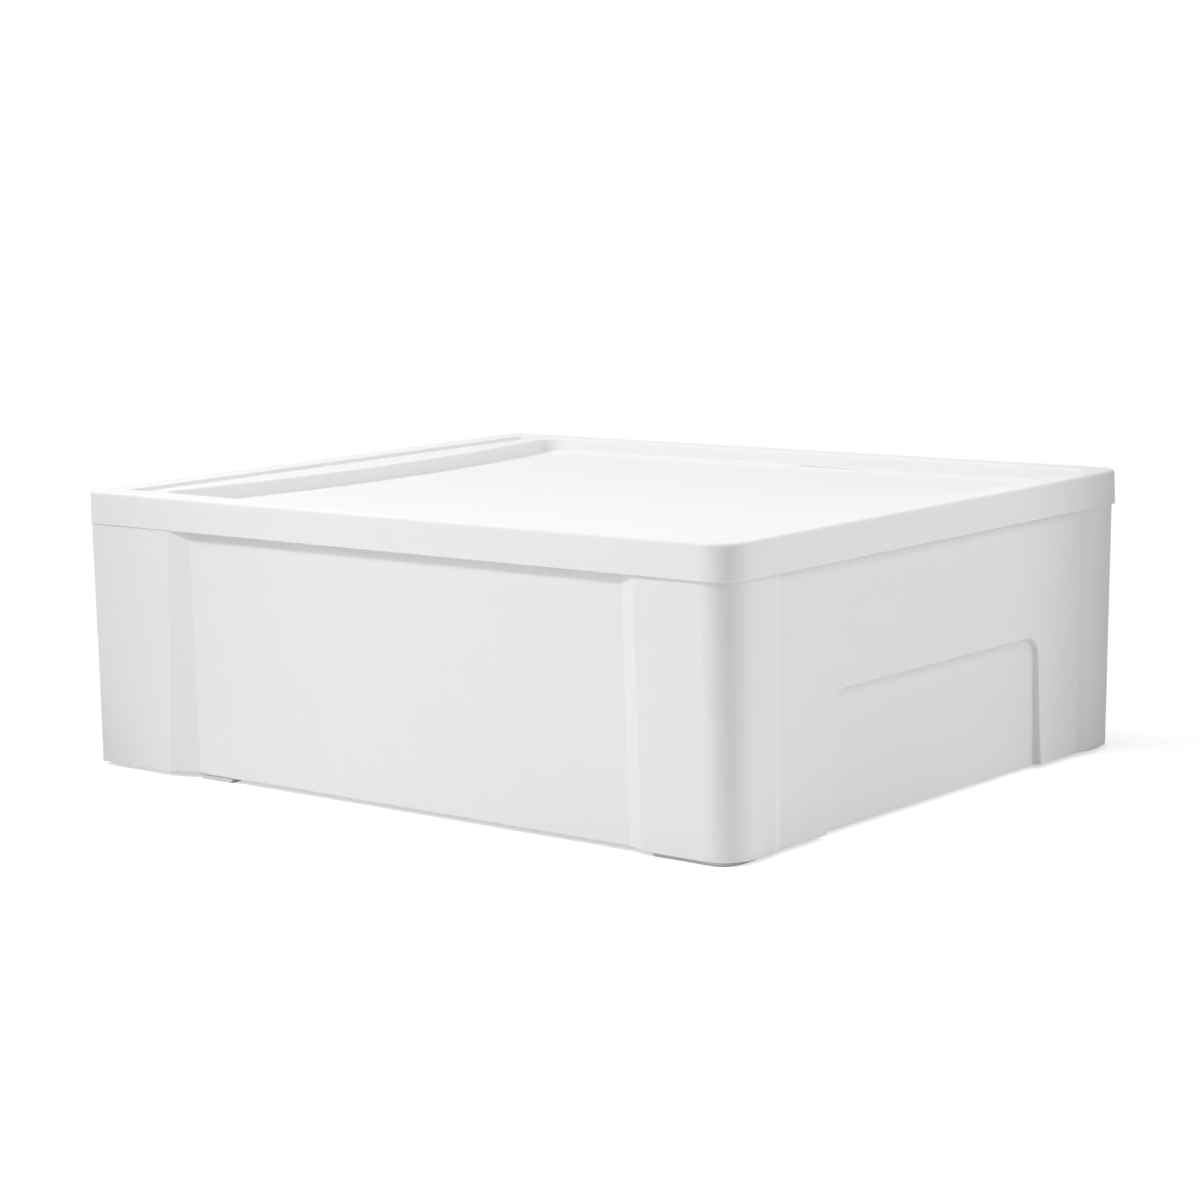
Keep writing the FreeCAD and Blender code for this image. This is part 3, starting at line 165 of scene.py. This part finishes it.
class PlasticFinish(bpy.types.PropertyGroup):
    """Colour and surface of the moulded plastic."""

    colour: bpy.props.FloatVectorProperty(
        name="Colour", description="White of the moulded plastic", subtype="COLOR",
        size=3, default=(0.86, 0.86, 0.86), min=0, max=1,
    )
    roughness: bpy.props.FloatProperty(
        name="Roughness", description="How matte the plastic is", subtype="FACTOR",
        default=0.52, min=0, max=1,
    )
    grain: bpy.props.FloatProperty(
        name="Grain", description="Size of the fine grain that the mould leaves",
        default=0.45 * MM, unit="LENGTH",
    )
    grain_depth: bpy.props.FloatProperty(
        name="Grain depth", description="Depth of that grain", default=0.007 * MM, unit="LENGTH",
    )
    wave: bpy.props.FloatProperty(
        name="Wave", description="Length of the faint waves that the flow of the plastic leaves",
        default=55 * MM, unit="LENGTH",
    )
    wave_depth: bpy.props.FloatProperty(
        name="Wave depth", description="Depth of those waves", default=0.12 * MM, unit="LENGTH",
    )
    scuff: bpy.props.FloatProperty(
        name="Scuff", description="Width of the fine scuffs on faces that others rest on",
        default=1.1 * MM, unit="LENGTH",
    )
    scuff_depth: bpy.props.FloatProperty(
        name="Scuff depth", description="Depth of those scuffs", default=0.004 * MM, unit="LENGTH",
    )
    pin_spacing: bpy.props.FloatProperty(
        name="Pin spacing", description="Distance between the round marks of the ejector pins",
        default=62 * MM, unit="LENGTH",
    )
    pin_radius: bpy.props.FloatProperty(
        name="Pin radius", description="Radius of those marks", default=4.5 * MM, unit="LENGTH",
    )
    pin_edge: bpy.props.FloatProperty(
        name="Pin edge", description="Width of the rim of those marks",
        default=0.8 * MM, unit="LENGTH",
    )
    pin_depth: bpy.props.FloatProperty(
        name="Pin depth", description="Depth of those marks", default=0.2 * MM, unit="LENGTH",
    )
    shine: bpy.props.FloatProperty(
        name="Shine", description="Strength of the plastic's reflections", subtype="FACTOR",
        default=0.1, min=0, max=1,
    )
    glow: bpy.props.FloatProperty(
        name="Glow", description="Share of the light that spreads inside the plastic",
        subtype="FACTOR", default=0.15, min=0, max=1,
    )
    glow_depth: bpy.props.FloatProperty(
        name="Glow depth", description="How far that light spreads",
        default=2.5 * MM, unit="LENGTH",
    )


class PadFinish(bpy.types.PropertyGroup):
    """Colour and surface of the soft feet. Their grey, darker than the box's white plastic, is
    painted shade from under the box.
    """

    # The feet's grey is painted shade: it is darker than the box's plastic and stands in for the
    # shade under the box.
    colour: bpy.props.FloatVectorProperty(
        name="Colour", description="Pale grey of the feet", subtype="COLOR",
        size=3, default=(0.66, 0.66, 0.66), min=0, max=1,
    )
    roughness: bpy.props.FloatProperty(
        name="Roughness", description="How matte the feet are", subtype="FACTOR",
        default=0.7, min=0, max=1,
    )


class StudioSetup(bpy.types.PropertyGroup):
    """Camera, floor and the light from all round."""

    camera_place: bpy.props.FloatVectorProperty(
        name="Camera place", description="Where the camera stands", subtype="TRANSLATION",
        size=3, default=(1.1170, 0.9368, 0.3024),
    )
    camera_turn: bpy.props.FloatVectorProperty(
        name="Camera turn", description="How the camera is turned", subtype="EULER", size=3,
        default=[math.radians(angle) for angle in (81.2484, 1.3817, 129.9119)],
    )
    lens: bpy.props.FloatProperty(
        name="Lens", description="Focal length on a 36 mm wide frame, in millimetres",
        default=89.34, unit="CAMERA",
    )
    floor_size: bpy.props.FloatProperty(
        name="Floor size", description="Side of the floor", default=12.0, unit="LENGTH",
    )
    floor_lift: bpy.props.FloatProperty(
        name="Floor lift", description="How much the floor near the box is lifted towards white",
        default=0.58,
    )
    shadow_reach: bpy.props.FloatProperty(
        name="Shadow reach",
        description="Distance from the box over which the floor turns plain white",
        default=0.035, unit="LENGTH",
    )
    fill: bpy.props.FloatProperty(
        name="Fill", description="Light that comes from all round", default=0.315,
    )


def new_material(name, build):
    """A material whose surface is made by a function of its tree."""
    material = bpy.data.materials.new(name)
    material.use_nodes = True
    material.node_tree.nodes.clear()
    base = Signal(material.node_tree, None)
    base.node("ShaderNodeOutputMaterial", {}, {"Surface": build(base)})
    return material


def share_along(base, place, axis):
    """One of the three numbers of a place or a direction."""
    return base.node("ShaderNodeSeparateXYZ", {}, {"Vector": place}, output=axis)


def noise(base, place, scale, detail):
    inputs = {"Vector": place, "Scale": scale, "Detail": detail}
    return base.node("ShaderNodeTexNoise", {}, inputs)


def stretched_noise(base, place, stretch, scale, detail):
    """Noise whose grains are longer along the axes with a small stretch."""
    drawn = base.node("ShaderNodeVectorMath", {"operation": "MULTIPLY"}, {0: place, 1: stretch})
    return noise(base, drawn, scale, detail)


def facing(share):
    """1 on faces that look along the axis of this share of their normal, and 0 on the others."""
    return ((share - FACING) * FACING_CONTRAST).clamped(0, 1)


def pin_marks(base, place, finish):
    """Round marks of the mould's ejector pins, on a square grid in plan: 1 on a mark, 0 off it."""
    squares = []
    for axis in ("X", "Y"):
        along = share_along(base, place, axis)
        offset = (along * (1 / finish.pin_spacing)).math("FRACT") - 0.5
        squares.append(offset * offset)
    distance = (squares[0] + squares[1]).math("SQRT") * finish.pin_spacing
    return ((finish.pin_radius - distance) * (1 / finish.pin_edge)).clamped(0, 1)


def plastic_surface(base, finish, marked_side, marks_below):
    """Moulded plastic with grain, faint flow waves, scuffs on top faces and pin marks.

    The marks are on faces that look up where marked_side is 1 and down where it is -1, and lie
    below the height marks_below.
    """
    place = base.node("ShaderNodeTexCoord", output="Object")
    upward = share_along(base, base.node("ShaderNodeTexCoord", output="Normal"), "Z")
    height = share_along(base, place, "Z")

    grain = noise(base, place, 1 / finish.grain, detail=3.0)
    cloud = noise(base, place, CLOUD_SCALE, detail=2.0)
    flow = stretched_noise(base, place, FLOW_STRETCH, 1 / finish.wave, detail=1.0)
    along = stretched_noise(base, place, ALONG_STRETCH, 1 / finish.scuff, detail=2.0)
    across = stretched_noise(base, place, ACROSS_STRETCH, 1 / finish.scuff, detail=2.0)

    scuffs = ((along.math("MAXIMUM", across) - SCUFF_LEVEL) * SCUFF_CONTRAST).clamped(0, 1)
    scuffs = scuffs * facing(upward)
    low = ((marks_below - height) * (1 / MM)).clamped(0, 1)
    pins = pin_marks(base, place, finish) * facing(upward * marked_side) * low

    roughness = CLOUD_ROUGHNESS * (cloud - 0.5) + GRAIN_ROUGHNESS * (grain - 0.5)
    roughness = finish.roughness + roughness - SCUFF_POLISH * scuffs - PIN_POLISH * pins
    shade = BASE_SHADE + CLOUD_SHADE * cloud - SCUFF_SHADE * scuffs - PIN_SHADE * pins
    colour = base.node(
        "ShaderNodeVectorMath", {"operation": "SCALE"},
        {"Vector": tuple(finish.colour), "Scale": shade.clamped(0, 1)},
    )
    relief = grain * finish.grain_depth + flow * finish.wave_depth
    relief = relief - scuffs * finish.scuff_depth - pins * finish.pin_depth
    bump = base.node("ShaderNodeBump", {}, {"Height": relief, "Distance": 1.0, "Strength": 1.0})
    return base.node("ShaderNodeBsdfPrincipled", {}, {
        "Base Color": colour,
        "Roughness": roughness.clamped(0, 1),
        "Normal": bump,
        "IOR": PLASTIC_IOR,
        "Specular IOR Level": finish.shine,
        "Subsurface Weight": finish.glow,
        "Subsurface Radius": (1.0, 1.0, 1.0),
        "Subsurface Scale": finish.glow_depth,
    })


def grey(level):
    return (level, level, level, 1)


def dress(nodes, material):
    """Give every one of these CAD nodes this material."""
    for name in nodes:
        slots = frame["nodes"][name].data.materials
        slots.clear()
        slots.append(material)


class OBJECT_OT_housing_finish(bpy.types.Operator):
    """Finish the housing's panels in white moulded plastic"""
    bl_idname = "drawer_box.housing_finish"
    bl_label = "Housing Finish"

    def execute(self, context):
        finish = context.scene.box_plastic
        under = (-1.0, CAD_BOX[1][2])

        def surface(base):
            return plastic_surface(base, finish, *under)

        dress(HOUSING_NODES, new_material("housing_plastic", surface))
        return {"FINISHED"}


class OBJECT_OT_drawer_finish(bpy.types.Operator):
    """Finish the drawer in white moulded plastic"""
    bl_idname = "drawer_box.drawer_finish"
    bl_label = "Drawer Finish"

    def execute(self, context):
        finish = context.scene.box_plastic
        inside = (1.0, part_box("drawer_tray")[0][2] + finish.pin_radius)

        def surface(base):
            return plastic_surface(base, finish, *inside)

        dress(DRAWER_NODES, new_material("drawer_plastic", surface))
        return {"FINISHED"}


class OBJECT_OT_feet_finish(bpy.types.Operator):
    """Finish the feet in soft grey, whose darkness is painted shade from under the box"""
    bl_idname = "drawer_box.feet_finish"
    bl_label = "Feet Finish"

    def execute(self, context):
        finish = context.scene.box_feet

        def surface(base):
            place = base.node("ShaderNodeTexCoord", output="Object")
            grain = noise(base, place, PAD_GRAIN_SCALE, detail=2.0)
            relief = {"Height": grain, "Distance": PAD_GRAIN_DEPTH, "Strength": 1.0}
            roughness = finish.roughness + PAD_GRAIN_ROUGHNESS * (grain - 0.5)
            return base.node("ShaderNodeBsdfPrincipled", {}, {
                "Base Color": (*finish.colour, 1.0),
                "Roughness": roughness.clamped(0, 1),
                "Normal": base.node("ShaderNodeBump", {}, relief),
            })

        # The feet's grey colour is painted shade from under the box.
        dress(FOOT_NODES, new_material("foot_pad", surface))
        return {"FINISHED"}


def add_lamp(name, azimuth, elevation, distance, size, power):
    """A square soft lamp that looks at the middle of the box."""
    lamp = bpy.data.lights.new(name, "AREA")
    lamp.shape = "SQUARE"
    lamp.size = size
    lamp.energy = power
    holder = bpy.data.objects.new(name, lamp)
    bpy.context.scene.collection.objects.link(holder)
    turn, rise = math.radians(azimuth), math.radians(elevation)
    flat = math.cos(rise)
    away = Vector((flat * math.cos(turn), flat * math.sin(turn), math.sin(rise)))
    holder.location = distance * away
    from_middle = holder.location - Vector((0, 0, BOX_MIDDLE))
    holder.rotation_euler = from_middle.to_track_quat("Z", "Y").to_euler()


def add_sheet(name, corners, material):
    """A flat sheet that is part of the studio, such as the floor."""
    mesh = bpy.data.meshes.new(name)
    mesh.from_pydata(corners, [], [(0, 1, 2, 3)])
    mesh.materials.append(material)
    sheet = bpy.data.objects.new(name, mesh)
    bpy.context.scene.collection.objects.link(sheet)
    return sheet


def flag_surface(base):
    """Black cloth."""
    return base.node("ShaderNodeBsdfDiffuse", {}, {"Color": grey(FLAG_GREY)})


def seen_directly(base):
    """1 for rays of the camera, straight, mirrored or through glass, and 0 for light on the box."""
    rays = [
        base.node("ShaderNodeLightPath", output=kind)
        for kind in ("Is Camera Ray", "Is Glossy Ray", "Is Transmission Ray")
    ]
    return rays[0].math("MAXIMUM", rays[1]).math("MAXIMUM", rays[2])


def off_the_box(base, reach):
    """0 under the box and the drawer's travel, rising to 1 at this distance from them."""
    place = base.node("ShaderNodeTexCoord", output="Object")
    travel = frame["record"]["behaviour"]["joints"][0]["range_m"][1]
    low, high = CAD_BOX
    outside = []
    for axis, start, end in (("X", low[0], high[0]), ("Y", low[1] - travel, high[1])):
        along = share_along(base, place, axis)
        outside.append((along - end).math("MAXIMUM", start - along))
    distance = outside[0].math("MAXIMUM", outside[1])
    return (distance * (1 / reach)).clamped(0, 1)


def floor_surface(base, studio):
    """Pale floor that keeps the box's shadow, and is plain white to the camera further off."""
    plain = base.node("ShaderNodeBsdfDiffuse", {}, {"Color": grey(FLOOR_GREY)})
    lift = base.node("ShaderNodeEmission", {}, {"Color": WHITE, "Strength": studio.floor_lift})
    near = base.node("ShaderNodeAddShader", {}, {0: plain, 1: lift})
    far = base.node("ShaderNodeEmission", {}, {"Color": WHITE, "Strength": 1.0})
    away = off_the_box(base, studio.shadow_reach)
    backdrop = base.node("ShaderNodeMixShader", {}, {0: away, 1: near, 2: far})
    seen = seen_directly(base)
    return base.node("ShaderNodeMixShader", {}, {0: seen, 1: plain, 2: backdrop})


def add_world(fill_strength):
    """A world that lights the box from all round and is plain white to the camera."""
    world = bpy.data.worlds.new("studio_world")
    bpy.context.scene.world = world
    world.use_nodes = True
    world.node_tree.nodes.clear()
    base = Signal(world.node_tree, None)
    fill = base.node("ShaderNodeBackground", {}, {"Color": WHITE, "Strength": fill_strength})
    backdrop = base.node("ShaderNodeBackground", {}, {"Color": WHITE, "Strength": 1.0})
    seen = seen_directly(base)
    mixed = base.node("ShaderNodeMixShader", {}, {0: seen, 1: fill, 2: backdrop})
    base.node("ShaderNodeOutputWorld", {}, {"Surface": mixed})


def add_camera(studio):
    """The camera that sees the box as the photograph does."""
    camera = bpy.data.cameras.new("camera")
    camera.lens = studio.lens
    camera.sensor_width = SENSOR_WIDTH
    camera.clip_start = NEAREST_SEEN
    holder = bpy.data.objects.new("camera", camera)
    bpy.context.scene.collection.objects.link(holder)
    holder.location = studio.camera_place
    holder.rotation_euler = Euler(studio.camera_turn)
    bpy.context.scene.camera = holder


class OBJECT_OT_stage(bpy.types.Operator):
    """Set up the floor, the lamps and the camera"""
    bl_idname = "drawer_box.stage"
    bl_label = "Stage"

    def execute(self, context):
        studio = context.scene.box_studio
        half = studio.floor_size / 2
        corners = [(-half, -half, 0), (half, -half, 0), (half, half, 0), (-half, half, 0)]
        floor = new_material("studio_floor", lambda base: floor_surface(base, studio))
        add_sheet("floor", corners, floor)
        add_world(studio.fill)
        for name, (azimuth, elevation, distance), size, power in STUDIO_LAMPS:
            add_lamp(name, azimuth, elevation, distance, size, power)
        cloth = new_material("flag_cloth", flag_surface)
        for name, start, end in STUDIO_FLAGS:
            corners = [(*start, 0), (*end, 0), (*end, FLAG_HEIGHT), (*start, FLAG_HEIGHT)]
            add_sheet(name, corners, cloth).visible_camera = False
        add_camera(studio)
        context.scene.view_settings.view_transform = "Standard"
        return {"FINISHED"}


class VIEW3D_PT_drawer_box(bpy.types.Panel):
    """Lists the steps that dress the drawer box"""
    bl_label = "Drawer Box"
    bl_idname = "VIEW3D_PT_drawer_box"
    bl_space_type = "VIEW_3D"
    bl_region_type = "UI"
    bl_category = "Drawer Box"

    def draw(self, context):
        for operator in OPERATORS:
            self.layout.operator(operator.bl_idname)


PROPERTY_GROUPS = (PlasticFinish, PadFinish, StudioSetup)
OPERATORS = (
    OBJECT_OT_housing_finish,
    OBJECT_OT_drawer_finish,
    OBJECT_OT_feet_finish,
    OBJECT_OT_stage,
)
CLASSES = PROPERTY_GROUPS + OPERATORS + (VIEW3D_PT_drawer_box,)


def register():
    for made in CLASSES:
        bpy.utils.register_class(made)
    bpy.types.Scene.box_plastic = bpy.props.PointerProperty(type=PlasticFinish)
    bpy.types.Scene.box_feet = bpy.props.PointerProperty(type=PadFinish)
    bpy.types.Scene.box_studio = bpy.props.PointerProperty(type=StudioSetup)


def unregister():
    del bpy.types.Scene.box_studio
    del bpy.types.Scene.box_feet
    del bpy.types.Scene.box_plastic
    for made in reversed(CLASSES):
        bpy.utils.unregister_class(made)


def main():
    register()
    for step in ("housing_finish", "drawer_finish", "feet_finish", "stage"):
        getattr(bpy.ops.drawer_box, step)()


if __name__ == "__main__":
    main()
